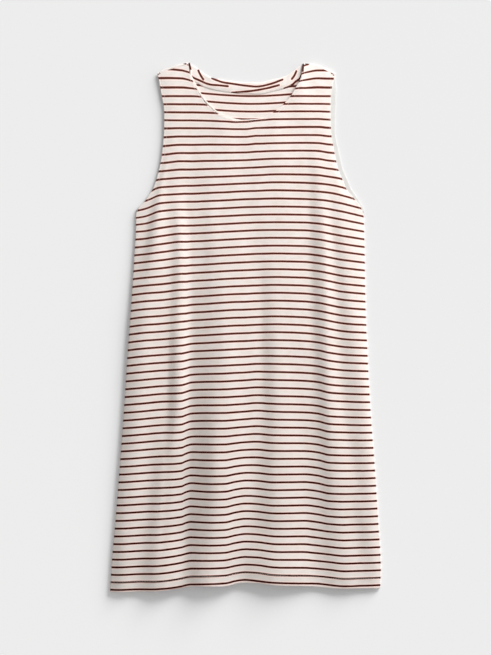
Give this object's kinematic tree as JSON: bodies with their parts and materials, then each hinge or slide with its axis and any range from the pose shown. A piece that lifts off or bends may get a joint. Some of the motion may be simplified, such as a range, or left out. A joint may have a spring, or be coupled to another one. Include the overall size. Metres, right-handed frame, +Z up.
{
  "type": "tank dress",
  "caption": "Sleeveless striped knit tank dress laid flat on its back, with a scooped front neck, a striped strip inside the back neck and soft lengthwise folds.",
  "frame": {"origin": "centre of the laid dress's outline, on the surface it lies on", "axes": "+Y from hem to neck, +X to the right of a viewer looking down at the front, +Z up from the surface through the back panel to the front panel"},
  "size_m": [0.4875, 0.9468, 0.0193],
  "materials": {
    "striped_knit": "matt fine jersey, off-white with narrow dark burgundy stripes across",
    "neck_knit": "matt fine jersey strip with its stripes along the neck edge",
    "edge_knit": "matt fine jersey, plain off-white, rolled and sewn down"
  },
  "bodies": {
    "root": {"front": "striped_knit", "back": "striped_knit", "neck_strip_front": "edge_knit", "neck_strip_back": "neck_knit", "armhole_strip_left": "edge_knit", "armhole_strip_right": "edge_knit"}
  },
  "joints": []
}
